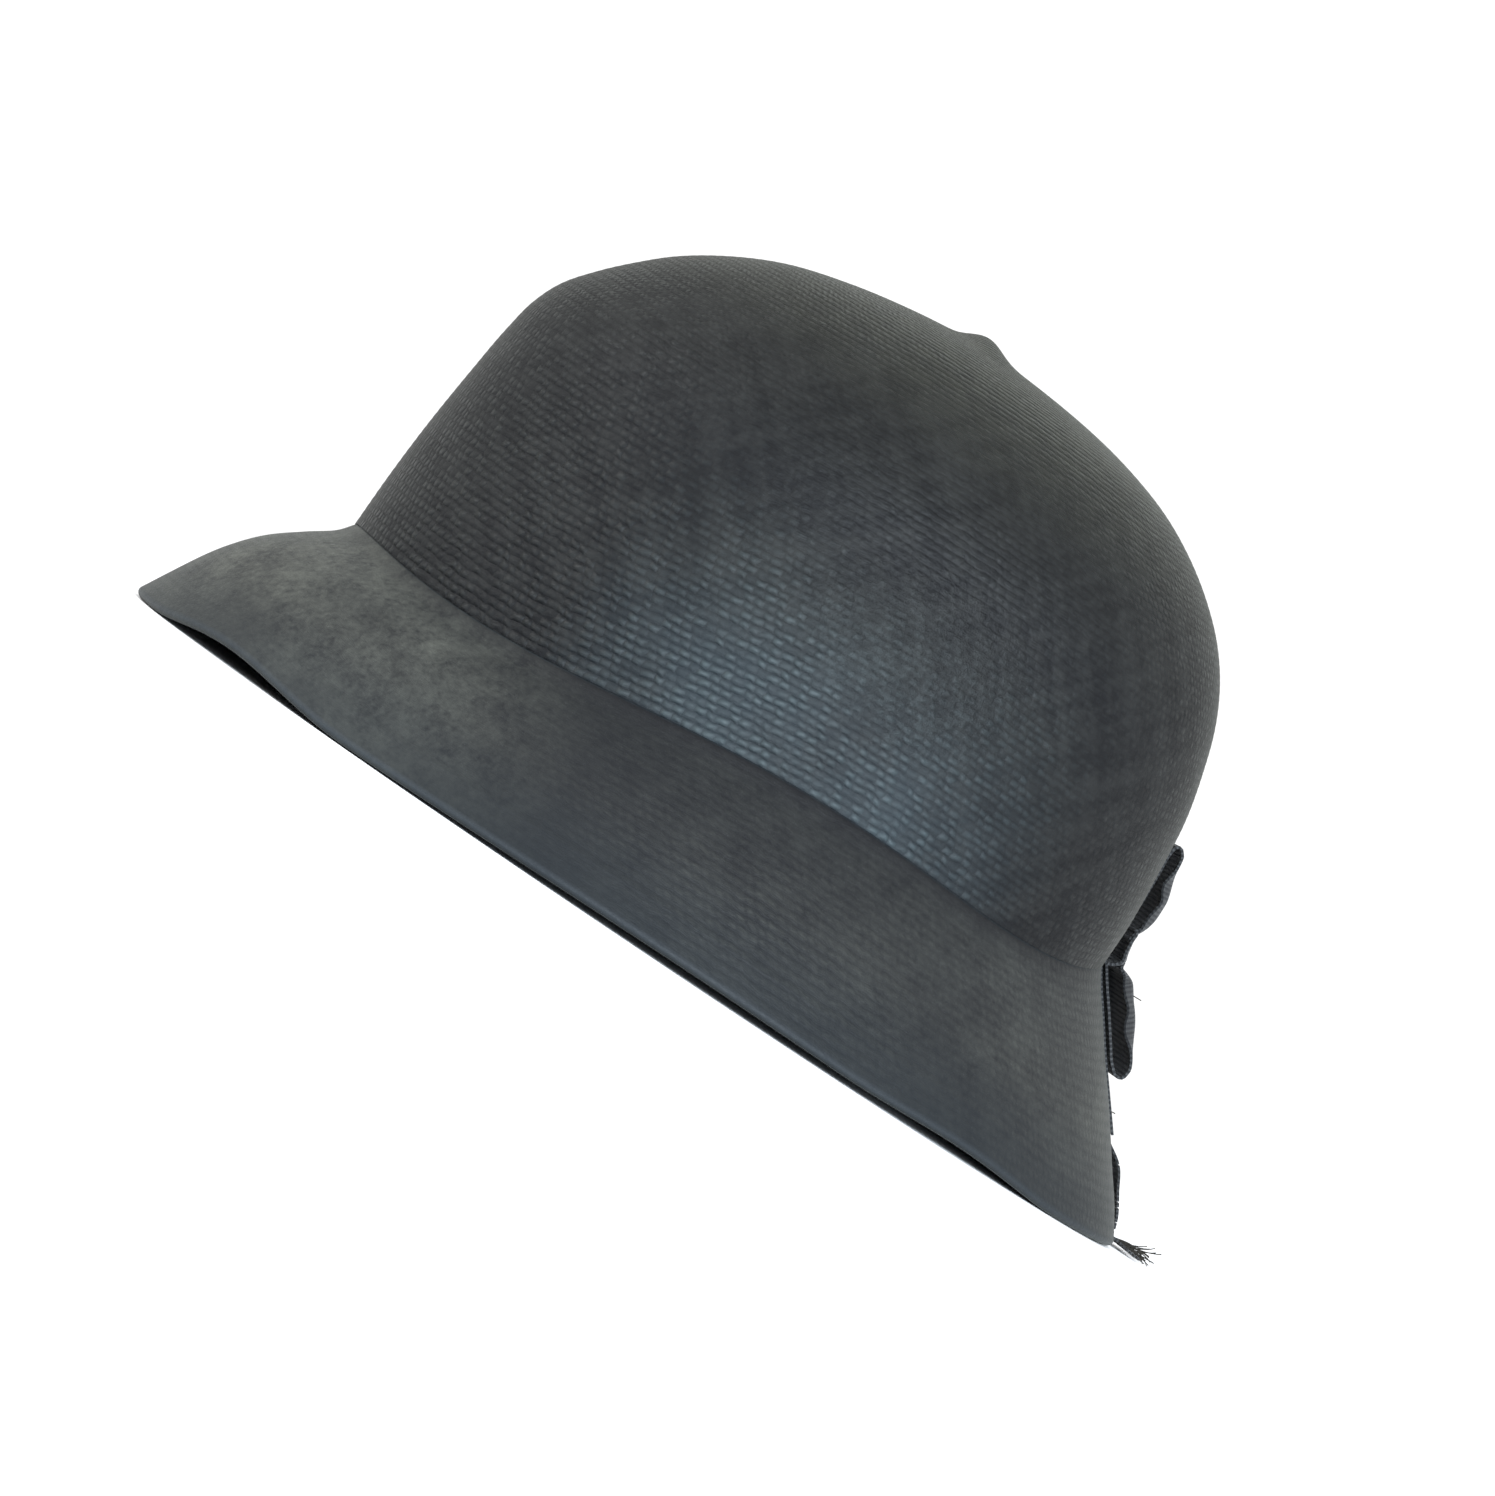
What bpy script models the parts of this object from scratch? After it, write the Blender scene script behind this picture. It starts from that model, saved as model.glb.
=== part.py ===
"""Close-fitting straw hat: a round crown, a bell-shaped brim with its edge turned under, and a flat ribbon bow.

Metres, +Z up. The hat stands on its brim's edge at Z = 0, with its front towards -Y and the bow at its back.
The origin is on that surface, under the middle of the hat's bounding box. Angles round the hat start at the
back: 90 degrees is the wearer's left side and 180 degrees the front.
"""

import math

import bmesh
import bpy
from mathutils import Vector

# Straw and head opening
STRAW_WALL = 0.0015
SEAM_GAP = 0.0003
HEAD_LENGTH = 0.1910
HEAD_WIDTH = 0.1590

# Crown
CROWN_HEIGHT = 0.1085
TIP_RIDGE_HEIGHT = 0.0028
TIP_RIDGE_HALF_LENGTH = 0.0260
TIP_RIDGE_HALF_WIDTH = 0.0085
TIP_RIDGE_SHIFT = -0.0035

# Brim
HEAD_LINE_HEIGHT = 0.0443
HEAD_LINE_TILT = 0.0061
HEAD_LINE_WAVE = 0.0021
FRONT_FLARE = 0.0320
SIDE_FLARE = 0.0300
BACK_FLARE = 0.0374
RIM_SIDE_LIFT = 0.0016
FRONT_WAVE_LIFT = 0.0030
BACK_WAVE_LIFT = 0.0014
RIM_ROUNDING = 0.0006
HEM_HEIGHT = 0.0068
HEM_THICKNESS = 0.0011
COLLAR_HEIGHT = 0.0070

# Ribbon bow
RIBBON_WIDTH = 0.0300
RIBBON_PINCH = 0.0220
RIBBON_THICKNESS = 0.0010
LAYER_GAP = 0.0003
KNOT_GAP = 0.0006
BOW_SHIFT = -0.0060
KNOT_START = 0.0006
KNOT_LENGTH = 0.0100
KNOT_RISE = 0.0058
KNOT_SIDE_SHARE = 0.6
UPPER_LOOP_LENGTH = 0.0205
UPPER_LOOP_RISE = 0.0048
LOWER_LOOP_LENGTH = 0.0268
LOWER_LOOP_RISE = 0.0054
SHORT_TAIL_LENGTH = 0.0370
TAIL_BULGE = 0.0033
TAIL_ON_SURFACE = 0.0110
LAYER_BEND_REACH = 0.0080

# Fineness of the meshes
SEGMENTS = 64
RIBBON_STRIPS = 4
CURVE_STEPS = 2
SHARP_DEGREES = 40

# Crown sections from the head line to the tip. Height is a share of the crown's height; front, back and side
# are shares of the half length or half width at the head line.
CROWN_SECTIONS = (
    {"height": 0.000, "front": 1.000, "side": 1.000, "back": 1.000},
    {"height": 0.110, "front": 0.998, "side": 0.998, "back": 1.000},
    {"height": 0.240, "front": 0.991, "side": 0.990, "back": 0.989},
    {"height": 0.390, "front": 0.976, "side": 0.973, "back": 0.970},
    {"height": 0.500, "front": 0.962, "side": 0.951, "back": 0.940},
    {"height": 0.570, "front": 0.947, "side": 0.931, "back": 0.916},
    {"height": 0.630, "front": 0.918, "side": 0.903, "back": 0.888},
    {"height": 0.690, "front": 0.866, "side": 0.858, "back": 0.851},
    {"height": 0.750, "front": 0.802, "side": 0.802, "back": 0.801},
    {"height": 0.805, "front": 0.734, "side": 0.736, "back": 0.739},
    {"height": 0.860, "front": 0.643, "side": 0.652, "back": 0.660},
    {"height": 0.915, "front": 0.520, "side": 0.537, "back": 0.553},
    {"height": 0.955, "front": 0.372, "side": 0.400, "back": 0.428},
    {"height": 0.980, "front": 0.236, "side": 0.267, "back": 0.298},
    {"height": 0.992, "front": 0.146, "side": 0.166, "back": 0.184},
    {"height": 0.998, "front": 0.070, "side": 0.078, "back": 0.086},
)

# Brim profile from the head line to the rim. Drop is a share of the way down; front, side and back are shares
# of the flare there.
BRIM_PROFILE = (
    {"drop": 0.00, "front": 0.000, "side": 0.000, "back": 0.000},
    {"drop": 0.07, "front": 0.070, "side": 0.072, "back": 0.062},
    {"drop": 0.18, "front": 0.252, "side": 0.225, "back": 0.178},
    {"drop": 0.32, "front": 0.470, "side": 0.405, "back": 0.325},
    {"drop": 0.50, "front": 0.665, "side": 0.598, "back": 0.525},
    {"drop": 0.68, "front": 0.808, "side": 0.762, "back": 0.715},
    {"drop": 0.84, "front": 0.912, "side": 0.890, "back": 0.880},
    {"drop": 1.00, "front": 1.000, "side": 1.000, "back": 1.000},
)

# Stretches of the rim that arch off the surface, in degrees round the hat: both sides, and two waves on the
# wearer's left.
RIM_ARCHES = (
    {"lift": RIM_SIDE_LIFT, "middle": 90, "reach": 50},
    {"lift": RIM_SIDE_LIFT, "middle": 270, "reach": 50},
    {"lift": FRONT_WAVE_LIFT, "middle": 152, "reach": 20},
    {"lift": BACK_WAVE_LIFT, "middle": 58, "reach": 18},
)

# Ribbon loop from the knot along the straw, round its fold and back to the knot. Along is a share of the
# loop's length; upper and lower are shares of that loop's rise.
LOOP_OUTLINE = (
    {"along": 0.00, "upper": 0.00, "lower": 0.00},
    {"along": 0.35, "upper": 0.00, "lower": 0.00},
    {"along": 0.70, "upper": 0.00, "lower": 0.00},
    {"along": 0.93, "upper": 0.03, "lower": 0.03},
    {"along": 1.00, "upper": 0.22, "lower": 0.24},
    {"along": 0.94, "upper": 0.43, "lower": 0.55},
    {"along": 0.80, "upper": 0.62, "lower": 0.80},
    {"along": 0.60, "upper": 0.83, "lower": 0.97},
    {"along": 0.40, "upper": 0.98, "lower": 1.00},
    {"along": 0.20, "upper": 0.93, "lower": 0.98},
    {"along": 0.06, "upper": 0.61, "lower": 0.70},
    {"along": 0.00, "upper": 0.57, "lower": 0.66},
)

# Short tail from the knot to its slanting cut. Along is a share of its length, lift a share of the tail's
# bulge, and left and right are its edges as shares of the ribbon's width from the bow's middle.
SHORT_TAIL = (
    {"along": 0.00, "lift": 0.00, "left": 0.36, "right": 0.02},
    {"along": 0.30, "lift": 0.00, "left": 0.42, "right": 0.02},
    {"along": 0.60, "lift": 0.00, "left": 0.48, "right": 0.03},
    {"along": 0.82, "lift": 0.03, "left": 0.52, "right": 0.05},
    {"along": 1.00, "lift": 0.10, "left": 0.55, "right": 0.08},
)
SHORT_TAIL_SLANT = 0.12

# Long tail from the knot down the brim's back, its columns as above. Along is a share of the way to the rim.
LONG_TAIL = (
    {"along": 0.00, "lift": 0.00, "left": -0.02, "right": -0.36},
    {"along": 0.20, "lift": 0.00, "left": -0.02, "right": -0.42},
    {"along": 0.40, "lift": 0.00, "left": -0.02, "right": -0.46},
    {"along": 0.56, "lift": 0.06, "left": -0.01, "right": -0.49},
    {"along": 0.66, "lift": 0.64, "left": 0.08, "right": -0.50},
    {"along": 0.74, "lift": 1.00, "left": 0.22, "right": -0.50},
    {"along": 0.82, "lift": 0.66, "left": 0.36, "right": -0.50},
    {"along": 0.91, "lift": 0.56, "left": 0.45, "right": -0.50},
)

# The long tail's end past the rim. Along is a share of its length on the surface.
LONG_TAIL_END = (
    {"along": 0.40, "lift": 0.20, "left": 0.48, "right": -0.48},
    {"along": 0.70, "lift": 0.02, "left": 0.45, "right": -0.46},
    {"along": 1.00, "lift": 0.00, "left": 0.38, "right": -0.42},
)

COLLAR_INSET = STRAW_WALL + SEAM_GAP
CROWN_HALF_LENGTH = HEAD_LENGTH / 2 + COLLAR_INSET + STRAW_WALL
CROWN_HALF_WIDTH = HEAD_WIDTH / 2 + COLLAR_INSET + STRAW_WALL
CROWN_TOP = HEAD_LINE_HEIGHT + CROWN_HEIGHT
RIM_HALF_WIDTH = CROWN_HALF_WIDTH + SIDE_FLARE
RIM_HALF_LENGTH = CROWN_HALF_LENGTH + (FRONT_FLARE + BACK_FLARE) / 2
RIM_SHIFT = (BACK_FLARE - FRONT_FLARE) / 2
EDGE_THICKNESS = STRAW_WALL + HEM_THICKNESS
HALF_ROW = 0.5 / len(BRIM_PROFILE)


# Curves
def eased(rows, key, name, at):
    """The named column where the key column has this value, on a smooth curve through the table's rows."""
    last = len(rows) - 1
    step = next((i for i in range(last) if at <= rows[i + 1][key]), last - 1)
    low, high = rows[step], rows[step + 1]
    before, after = rows[max(step - 1, 0)], rows[min(step + 2, last)]
    span = high[key] - low[key]
    start_slope = (high[name] - before[name]) / (high[key] - before[key]) * span
    end_slope = (after[name] - low[name]) / (after[key] - low[key]) * span
    t = (at - low[key]) / span
    blend = t * t * (3 - 2 * t)
    bend = t * (1 - t) * ((1 - t) * start_slope - t * end_slope)
    return low[name] + (high[name] - low[name]) * blend + bend


def smoothed(points):
    """Points on a smooth curve through the given ones, with CURVE_STEPS steps between neighbours."""
    found = []
    last = len(points) - 1
    for i in range(last):
        before, start, end, after = (points[k] for k in (max(i - 1, 0), i, i + 1, min(i + 2, last)))
        for k in range(CURVE_STEPS):
            t = k / CURVE_STEPS
            pull = (end - before) * t + (2 * before - 5 * start + 4 * end - after) * t**2
            push = (3 * start - before - 3 * end + after) * t**3
            found.append(start + (pull + push) / 2)
    found.append(points[-1])
    return found


def around(values, angle):
    """A value blended round the hat from its front, side and back values."""
    end = values["back"] if math.cos(angle) > 0 else values["front"]
    return values["side"] + (end - values["side"]) * math.cos(angle) ** 2


# Crown surface
def head_line_height(angle):
    """The head line rises towards the back and dips a little at its four quarters."""
    return HEAD_LINE_HEIGHT + HEAD_LINE_TILT * math.cos(angle) + HEAD_LINE_WAVE * math.cos(4 * angle)


def tip_ridge(x, y):
    """Height of the short cross ridge pinched into the crown's tip."""
    across = math.exp(-2 * ((y - TIP_RIDGE_SHIFT) / TIP_RIDGE_HALF_WIDTH) ** 2)
    run = max(0.0, 1 - (x / TIP_RIDGE_HALF_LENGTH) ** 2)
    return TIP_RIDGE_HEIGHT * across * run**2


def crown_point(angle, share, inset=0.0):
    """Point on the crown at a share of its height, moved inwards in plan by inset."""
    end = "back" if math.cos(angle) > 0 else "front"
    reach = eased(CROWN_SECTIONS, "height", end, share) * CROWN_HALF_LENGTH - inset
    side = eased(CROWN_SECTIONS, "height", "side", share) * CROWN_HALF_WIDTH - inset
    x = side * math.sin(angle)
    y = reach * math.cos(angle)
    z = head_line_height(angle) * (1 - share) + CROWN_TOP * share
    return Vector((x, y, z + tip_ridge(x, y)))


# Brim surface
def rim_point(angle):
    """Point on the rim's outline, which lies on the surface between its arched stretches."""
    height = 0.0
    for arch in RIM_ARCHES:
        away = min(abs(math.degrees(angle) - arch["middle"]) / arch["reach"], 1)
        height += arch["lift"] * (1 + math.cos(away * math.pi)) / 2
    return Vector((RIM_HALF_WIDTH * math.sin(angle), RIM_SHIFT + RIM_HALF_LENGTH * math.cos(angle), height))


def brim_point(angle, share, inset=0.0):
    """Point on the brim at a share of the way down, moved square to its face by inset."""
    start, rim = crown_point(angle, 0), rim_point(angle)

    def outer(at):
        flare = around({name: eased(BRIM_PROFILE, "drop", name, at) for name in ("front", "side", "back")}, angle)
        x, y = start.xy.lerp(rim.xy, flare)
        return Vector((x, y, start.z + (rim.z - start.z) * at))

    here = outer(share)
    if inset == 0:
        return here
    down = outer(min(share + HALF_ROW, 1)) - outer(max(share - HALF_ROW, 0))
    outwards = (rim - start).to_2d().normalized()
    run, fall = down.to_2d().dot(outwards), -down.z
    length = math.hypot(run, fall)
    move = outwards * (-inset * fall / length)
    return here + Vector((move.x, move.y, -inset * run / length))


def brim_section(angle):
    """Closed cross-section of the brim: outer face, flat edge, turned-under hem, inner face and collar."""
    rim = rim_point(angle)
    outwards = (rim - crown_point(angle, 0)).to_2d().normalized().to_3d()
    down = rim - brim_point(angle, 1 - HEM_HEIGHT / HEAD_LINE_HEIGHT)
    edge = outwards * (EDGE_THICKNESS * down.length / abs(down.z))
    step_in = outwards * RIM_ROUNDING
    step_up = Vector((0, 0, RIM_ROUNDING))
    hem_share = 1 - HEM_HEIGHT / (head_line_height(angle) - rim.z)
    drops = [row["drop"] for row in BRIM_PROFILE]

    points = [brim_point(angle, drop) for drop in drops[:-1]]
    points += [rim + step_up, rim - step_in, rim - edge + step_in, rim - edge + step_up]
    points += [brim_point(angle, hem_share, EDGE_THICKNESS)]
    points += [brim_point(angle, drop * hem_share, STRAW_WALL) for drop in reversed(drops[1:])]
    collar_top = COLLAR_HEIGHT / CROWN_HEIGHT
    points += [crown_point(angle, share, COLLAR_INSET + STRAW_WALL) for share in (0, collar_top)]
    points += [crown_point(angle, share, COLLAR_INSET) for share in (collar_top, 0)]
    return points


# Building
def angles():
    return [2 * math.pi * i / SEGMENTS for i in range(SEGMENTS)]


def material(name, colour, roughness):
    made = bpy.data.materials.new(name)
    made.use_nodes = True
    shader = made.node_tree.nodes["Principled BSDF"]
    shader.inputs["Base Color"].default_value = (*colour, 1)
    shader.inputs["Roughness"].default_value = roughness
    shader.inputs["Metallic"].default_value = 0.0
    return made


def add_object(name, fill, surface):
    """Object whose mesh the function fills, shifted so that the origin is under the bounding box's middle."""
    shape = bmesh.new()
    fill(shape)
    bmesh.ops.translate(shape, verts=shape.verts, vec=(0, origin_shift(), 0))
    bmesh.ops.recalc_face_normals(shape, faces=shape.faces)
    mesh = bpy.data.meshes.new(name)
    shape.to_mesh(mesh)
    shape.free()
    mesh.shade_smooth()
    mesh.set_sharp_from_angle(angle=math.radians(SHARP_DEGREES))
    mesh.materials.append(surface)
    made = bpy.data.objects.new(name, mesh)
    bpy.context.scene.collection.objects.link(made)
    return made


def ring(shape, points):
    """Closed loop of edges through these points."""
    corners = [shape.verts.new(point) for point in points]
    return [shape.edges.new((corners[i - 1], corners[i])) for i in range(len(corners))]


def bridged(shape, rings, capped):
    """Skin from each ring to the next, and over both ends where it is capped."""
    for one, other in zip(rings, rings[1:]):
        bmesh.ops.bridge_loops(shape, edges=one + other)
    if capped:
        for end in (rings[0], rings[-1]):
            bmesh.ops.holes_fill(shape, edges=end, sides=len(end))


def fill_crown(shape):
    """Crown skin in rings from the seam to the tip, given its wall inwards."""
    shares = [SEAM_GAP / CROWN_HEIGHT] + [row["height"] for row in CROWN_SECTIONS[1:]]
    rings = [ring(shape, [crown_point(angle, share) for angle in angles()]) for share in shares]
    bridged(shape, rings, capped=False)
    bmesh.ops.holes_fill(shape, edges=rings[-1], sides=SEGMENTS)
    cap = max(shape.faces, key=lambda face: len(face.verts))
    tip = bmesh.ops.poke(shape, faces=[cap])["verts"][0]
    tip.co = Vector((0, 0, CROWN_TOP + tip_ridge(0, 0)))
    bmesh.ops.recalc_face_normals(shape, faces=shape.faces)
    bmesh.ops.solidify(shape, geom=shape.faces[:], thickness=STRAW_WALL)


def fill_brim(shape):
    """Brim as a closed cross-section carried round the head."""
    sections = [ring(shape, brim_section(angle)) for angle in angles()]
    bridged(shape, sections + sections[:1], capped=False)


# Ribbon bow
def back_surface(along, aside):
    """Point on the hat's back: along runs up from the head line, or down the brim where it is negative."""
    angle = 0.0
    here = Vector()
    for _ in range(4):
        if along >= 0:
            here = crown_point(angle, along / (CROWN_TOP - head_line_height(0)))
        else:
            here = brim_point(angle, min(-along / back_slope(), 1))
        half = here.x / math.sin(angle) if angle else CROWN_HALF_WIDTH
        angle = math.asin(aside / half)
    past_rim = max(0.0, -along - back_slope())
    return here + Vector((0, past_rim, 0))


def back_point(along, aside, stand_off):
    """Point over the hat's back, off the straw by stand_off, which turns gently where the surfaces meet."""
    down = back_surface(along - LAYER_BEND_REACH, aside) - back_surface(along + LAYER_BEND_REACH, aside)
    across = back_surface(along, aside - LAYER_BEND_REACH) - back_surface(along, aside + LAYER_BEND_REACH)
    return back_surface(along, aside) + down.cross(across).normalized() * stand_off


def back_slope():
    """Length of the brim's back from the head line to the rim."""
    return (rim_point(0) - crown_point(0, 0)).length


def layer(number):
    """Middle of the numbered ribbon layer over the straw."""
    return LAYER_GAP + RIBBON_THICKNESS / 2 + number * (RIBBON_THICKNESS + LAYER_GAP)


def ribbon(shape, rows, slant=0.0):
    """Closed ribbon through rows of (along, stand-off, left edge, right edge), its last end cut at a slant."""
    columns = []
    for j in range(RIBBON_STRIPS + 1):
        share = j / RIBBON_STRIPS
        points = []
        for i, (along, stand_off, left, right) in enumerate(rows):
            skew = slant * (share - 0.5) * i / (len(rows) - 1)
            points.append(back_point(along + skew, BOW_SHIFT + left + (right - left) * share, stand_off))
        columns.append(smoothed(points))
    rings = []
    last = len(columns[0]) - 1
    for i in range(last + 1):
        top, bottom = [], []
        for j, column in enumerate(columns):
            run = column[min(i + 1, last)] - column[max(i - 1, 0)]
            across = columns[min(j + 1, RIBBON_STRIPS)][i] - columns[max(j - 1, 0)][i]
            half = run.cross(across).normalized() * (RIBBON_THICKNESS / 2)
            top.append(column[i] + half)
            bottom.append(column[i] - half)
        rings.append(ring(shape, top + bottom[::-1]))
    bridged(shape, rings, capped=True)


def fill_loop(shape, name, first, length, rise, base):
    """Loop of ribbon that leaves the knot at first, up the crown or down the brim by the sign of its length."""
    rows = []
    for row in LOOP_OUTLINE:
        spread = math.sin(row["along"] * math.pi / 2)
        half = (RIBBON_PINCH + (RIBBON_WIDTH - RIBBON_PINCH) * spread) / 2
        rows.append((first + length * row["along"], base + rise * row[name], half, -half))
    ribbon(shape, rows)


def fill_upper_loop(shape):
    first = KNOT_START + KNOT_LENGTH + KNOT_GAP
    fill_loop(shape, "upper", first, UPPER_LOOP_LENGTH, UPPER_LOOP_RISE, layer(0))


def fill_lower_loop(shape):
    first = KNOT_START - KNOT_GAP
    fill_loop(shape, "lower", first, -LOWER_LOOP_LENGTH, LOWER_LOOP_RISE, layer(1))


def tail_rows(table, first, length):
    """Rows for a ribbon from a tail's table."""
    rows = []
    for row in table:
        stand_off = layer(0) + row["lift"] * TAIL_BULGE
        left, right = row["left"] * RIBBON_WIDTH, row["right"] * RIBBON_WIDTH
        rows.append((first - length * row["along"], stand_off, left, right))
    return rows


def fill_short_tail(shape):
    first = KNOT_START - KNOT_GAP
    rows = tail_rows(SHORT_TAIL, first, SHORT_TAIL_LENGTH)
    ribbon(shape, rows, SHORT_TAIL_SLANT * SHORT_TAIL_LENGTH)


def fill_long_tail(shape):
    """The longer tail, down the brim's back and out over the surface that the hat stands on."""
    first = KNOT_START - KNOT_GAP
    rows = tail_rows(LONG_TAIL, first, back_slope() + first)
    rows += tail_rows(LONG_TAIL_END, -back_slope(), TAIL_ON_SURFACE)
    ribbon(shape, rows)


def fill_knot(shape):
    """Wrap of ribbon over the pinched middle of the bow, higher at its lower edge and rounded at its sides."""
    low, high = KNOT_START, KNOT_START + KNOT_LENGTH
    corner = KNOT_RISE / 4
    outline = (
        (low, 0.0),
        (low, KNOT_RISE - corner),
        (low + corner, KNOT_RISE),
        (high - corner, KNOT_RISE - corner),
        (high, KNOT_RISE - 2 * corner),
        (high, 0.0),
    )
    half = RIBBON_PINCH / 2 + LAYER_GAP
    asides = [half * (1 - 2 * j / RIBBON_STRIPS) for j in range(RIBBON_STRIPS + 1)]
    rings = []
    for aside in [half + RIBBON_THICKNESS] + asides + [-half - RIBBON_THICKNESS]:
        share = 1 if abs(aside) <= half else KNOT_SIDE_SHARE
        points = [back_point(along, BOW_SHIFT + aside, LAYER_GAP + rise * share) for along, rise in outline]
        rings.append(ring(shape, points))
    bridged(shape, rings, capped=True)


def origin_shift():
    """Shift that brings the middle of the hat's length over the origin, the long tail included."""
    front = rim_point(math.pi).y
    back = rim_point(0).y + TAIL_ON_SURFACE
    return -(front + back) / 2


def build_hat():
    for old in list(bpy.data.objects):
        bpy.data.objects.remove(old)
    straw = material("black_straw", (0.028, 0.031, 0.033), 0.55)
    grosgrain = material("black_ribbon", (0.012, 0.012, 0.014), 0.70)
    add_object("crown", fill_crown, straw)
    add_object("brim", fill_brim, straw)
    add_object("bow_knot", fill_knot, grosgrain)
    add_object("bow_loop_upper", fill_upper_loop, grosgrain)
    add_object("bow_loop_lower", fill_lower_loop, grosgrain)
    add_object("bow_tail_short", fill_short_tail, grosgrain)
    add_object("bow_tail_long", fill_long_tail, grosgrain)


build_hat()
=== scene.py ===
import math

import bpy
import numpy as np
from mathutils import Matrix, Vector


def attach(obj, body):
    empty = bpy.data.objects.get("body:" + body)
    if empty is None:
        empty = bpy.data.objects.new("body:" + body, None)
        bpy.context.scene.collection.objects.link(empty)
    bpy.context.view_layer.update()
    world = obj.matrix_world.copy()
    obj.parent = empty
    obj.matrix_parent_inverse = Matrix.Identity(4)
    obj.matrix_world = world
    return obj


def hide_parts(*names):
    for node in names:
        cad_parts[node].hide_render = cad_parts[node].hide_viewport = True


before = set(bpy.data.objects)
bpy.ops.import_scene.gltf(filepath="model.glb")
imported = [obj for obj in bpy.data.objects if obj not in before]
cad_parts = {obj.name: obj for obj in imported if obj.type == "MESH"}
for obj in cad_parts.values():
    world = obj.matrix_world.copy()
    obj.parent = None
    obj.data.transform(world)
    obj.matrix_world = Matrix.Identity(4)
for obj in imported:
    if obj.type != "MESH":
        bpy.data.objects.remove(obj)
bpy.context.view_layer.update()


# Crown
# One cone of fine black straw, plaited in narrow rows, damped and pressed over a wooden block. It is a single
# wall, open below, and a short ridge is pinched across its tip. Its rows of small straw knots are faded on top.
HEAD_MIDDLE = -0.0082
CROWN_HALF_LENGTH = 0.0988
CROWN_HALF_WIDTH = 0.0828
CROWN_TOP = 0.1528
CREASE_HEIGHT = 0.0443
CREASE_TILT = 0.0061
CREASE_WAVE = 0.0021
STRAW_THICKNESS = 0.0015
RIDGE_HEIGHT = 0.0028
RIDGE_HALF_LENGTH = 0.0260
RIDGE_HALF_WIDTH = 0.0070
RIDGE_MIDDLE = -0.0035
CROWN_ROWS = 84
CROWN_SIDES = 144
STEPS_PER_ROW = 4
ROW_DEPTH = 0.00006
KNOTS_ROUND = 236
FIRST_STEP = 0.002

# The side where handling has smoothed the rows: its middle, and how steeply it ends each way
RUBBED_ALONG = -0.002
RUBBED_HIGH = 0.084
RUBBED_STEEPNESS = (1300.0, 2600.0)

# Height up the block, and the half length in front, half width at the side and half length behind, as shares
BLOCK = np.array([
    (0.000, 1.000, 1.000, 1.000),
    (0.110, 0.998, 0.998, 1.000),
    (0.240, 0.991, 0.990, 0.989),
    (0.390, 0.976, 0.973, 0.970),
    (0.500, 0.962, 0.951, 0.940),
    (0.570, 0.947, 0.931, 0.916),
    (0.630, 0.918, 0.903, 0.888),
    (0.690, 0.866, 0.858, 0.851),
    (0.750, 0.802, 0.802, 0.801),
    (0.805, 0.734, 0.736, 0.739),
    (0.860, 0.643, 0.652, 0.660),
    (0.915, 0.520, 0.537, 0.553),
    (0.955, 0.372, 0.400, 0.428),
    (0.980, 0.236, 0.267, 0.298),
    (0.992, 0.146, 0.166, 0.184),
    (0.998, 0.070, 0.078, 0.086),
    (1.000, 0.000, 0.000, 0.000),
])


def ways(run, rise):
    """Share of the way along a curve at each of its points, by its straight steps."""
    steps = np.hypot(np.diff(run), np.diff(rise))
    return np.concatenate(([0.0], np.cumsum(steps))) / steps.sum()


def flowing(rows, way, at):
    """The table's columns at these shares of the way, on a smooth curve through its rows."""
    slopes = np.gradient(rows, way, axis=0)
    step = np.clip(np.searchsorted(way, at, side="right") - 1, 0, len(way) - 2)
    span = (way[step + 1] - way[step])[:, None]
    t = (at - way[step])[:, None] / span
    start = (1 + 2 * t) * (1 - t) ** 2 * rows[step] + t * (1 - t) ** 2 * span * slopes[step]
    end = t * t * (3 - 2 * t) * rows[step + 1] - t * t * (1 - t) * span * slopes[step + 1]
    return (start + end).T


def crease(turn):
    """Height of the crease between crown and brim, which rises to the back and dips at its four quarters."""
    return CREASE_HEIGHT + CREASE_TILT * np.cos(turn) + CREASE_WAVE * np.cos(4 * turn)


BLOCK_WAY = ways(BLOCK[:, 2] * CROWN_HALF_WIDTH, BLOCK[:, 0] * (CROWN_TOP - CREASE_HEIGHT))


def over_block(turn, way):
    """Points on the crown's outside, by the angle from the back and the share of the way up to the tip."""
    height, front, side, back = flowing(BLOCK, BLOCK_WAY, way)
    x = side * CROWN_HALF_WIDTH * np.sin(turn)
    y = np.where(np.cos(turn) > 0, back, front) * CROWN_HALF_LENGTH * np.cos(turn)
    ridge = np.exp(-2 * ((y - RIDGE_MIDDLE) / RIDGE_HALF_WIDTH) ** 2)
    ridge *= np.maximum(0, 1 - (x / RIDGE_HALF_LENGTH) ** 2) ** 2
    z = crease(turn) * (1 - height) + CROWN_TOP * height + RIDGE_HEIGHT * ridge
    return np.stack((x, y + HEAD_MIDDLE, z), axis=1)


def alone(piece):
    """Only this piece is selected, so that an operator acts on nothing else."""
    bpy.ops.object.select_all(action="DESELECT")
    piece.select_set(True)
    bpy.context.view_layer.objects.active = piece


def points_of(piece):
    found = np.empty(len(piece.data.vertices) * 3)
    piece.data.vertices.foreach_get("co", found)
    return found.reshape(-1, 3)


def shape_to(piece, points):
    piece.data.vertices.foreach_set("co", points.ravel())
    piece.data.update()


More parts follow.
